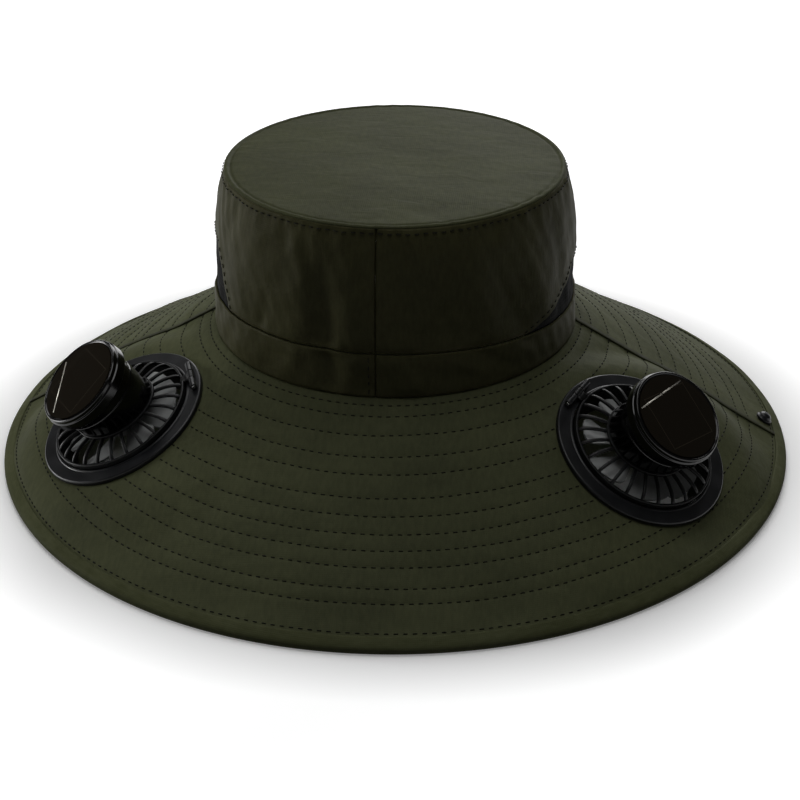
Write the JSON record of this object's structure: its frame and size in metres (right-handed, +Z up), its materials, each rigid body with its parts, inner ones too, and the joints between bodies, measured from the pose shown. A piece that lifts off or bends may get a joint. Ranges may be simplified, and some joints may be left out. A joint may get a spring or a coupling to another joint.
{
  "type": "solar fan hat",
  "caption": "Wide-brimmed cloth sun hat with a vented crown and a solar-powered fan hinged over a hole in each side of the brim.",
  "frame": {"origin": "on the floor under the middle of the brim", "axes": "+Z up through the crown, -Y towards the front of the hat, +X towards the right of the picture"},
  "size_m": [0.3934, 0.4074, 0.1468],
  "materials": {
    "nylon_cloth": "woven nylon, matte with a faint sheen",
    "binding_tape": "folded woven tape",
    "vent_mesh": "open knitted mesh",
    "black_plastic": "moulded, satin",
    "gloss_black": "moulded, polished",
    "solar_cell": "dark cell under clear cast resin",
    "grey_plastic": "moulded",
    "pin_steel": "bright drawn wire"
  },
  "bodies": {
    "hat": {"band_left": "nylon_cloth", "band_right": "nylon_cloth", "brim_back": "nylon_cloth", "brim_binding": "binding_tape", "brim_front": "nylon_cloth", "brim_seam_left": "nylon_cloth", "brim_seam_right": "nylon_cloth", "crown_back": "nylon_cloth", "crown_front_left": "nylon_cloth", "crown_front_right": "nylon_cloth", "crown_tip": "nylon_cloth", "left_fan_clamp_ring": "black_plastic", "left_fan_flange": "black_plastic", "left_fan_hinge_pin": "pin_steel", "right_fan_clamp_ring": "black_plastic", "right_fan_flange": "black_plastic", "right_fan_hinge_pin": "pin_steel", "snap_left": "black_plastic", "snap_right": "black_plastic", "vent_left": "vent_mesh", "vent_right": "vent_mesh"},
    "left_head": {"left_fan_cage": "black_plastic", "left_fan_hub": "gloss_black", "left_fan_solar_cap": "gloss_black", "left_fan_solar_cell": "solar_cell"},
    "left_rotor": {"left_fan_impeller": "grey_plastic"},
    "right_head": {"right_fan_cage": "black_plastic", "right_fan_hub": "gloss_black", "right_fan_solar_cap": "gloss_black", "right_fan_solar_cell": "solar_cell"},
    "right_rotor": {"right_fan_impeller": "grey_plastic"}
  },
  "joints": [
    {"name": "left_fan_tilt", "type": "hinge", "parent": "hat", "child": "left_head", "pos_m": [-0.09089, -0.06347, 0.05635], "axis": [-0.3171, 0.9372, 0.1451], "range_deg": [0, 70]},
    {"name": "left_fan_spin", "type": "hinge", "parent": "left_head", "child": "left_rotor", "pos_m": [-0.12471, -0.07253, 0.04097], "axis": [-0.386, -0.2673, 0.8829], "continuous": true},
    {"name": "right_fan_tilt", "type": "hinge", "parent": "hat", "child": "right_head", "pos_m": [0.0904, -0.06645, 0.05736], "axis": [-0.447, -0.8803, -0.1587], "range_deg": [0, 70]},
    {"name": "right_fan_spin", "type": "hinge", "parent": "right_head", "child": "right_rotor", "pos_m": [0.12208, -0.07946, 0.04033], "axis": [0.3786, -0.3469, 0.8581], "continuous": true}
  ]
}
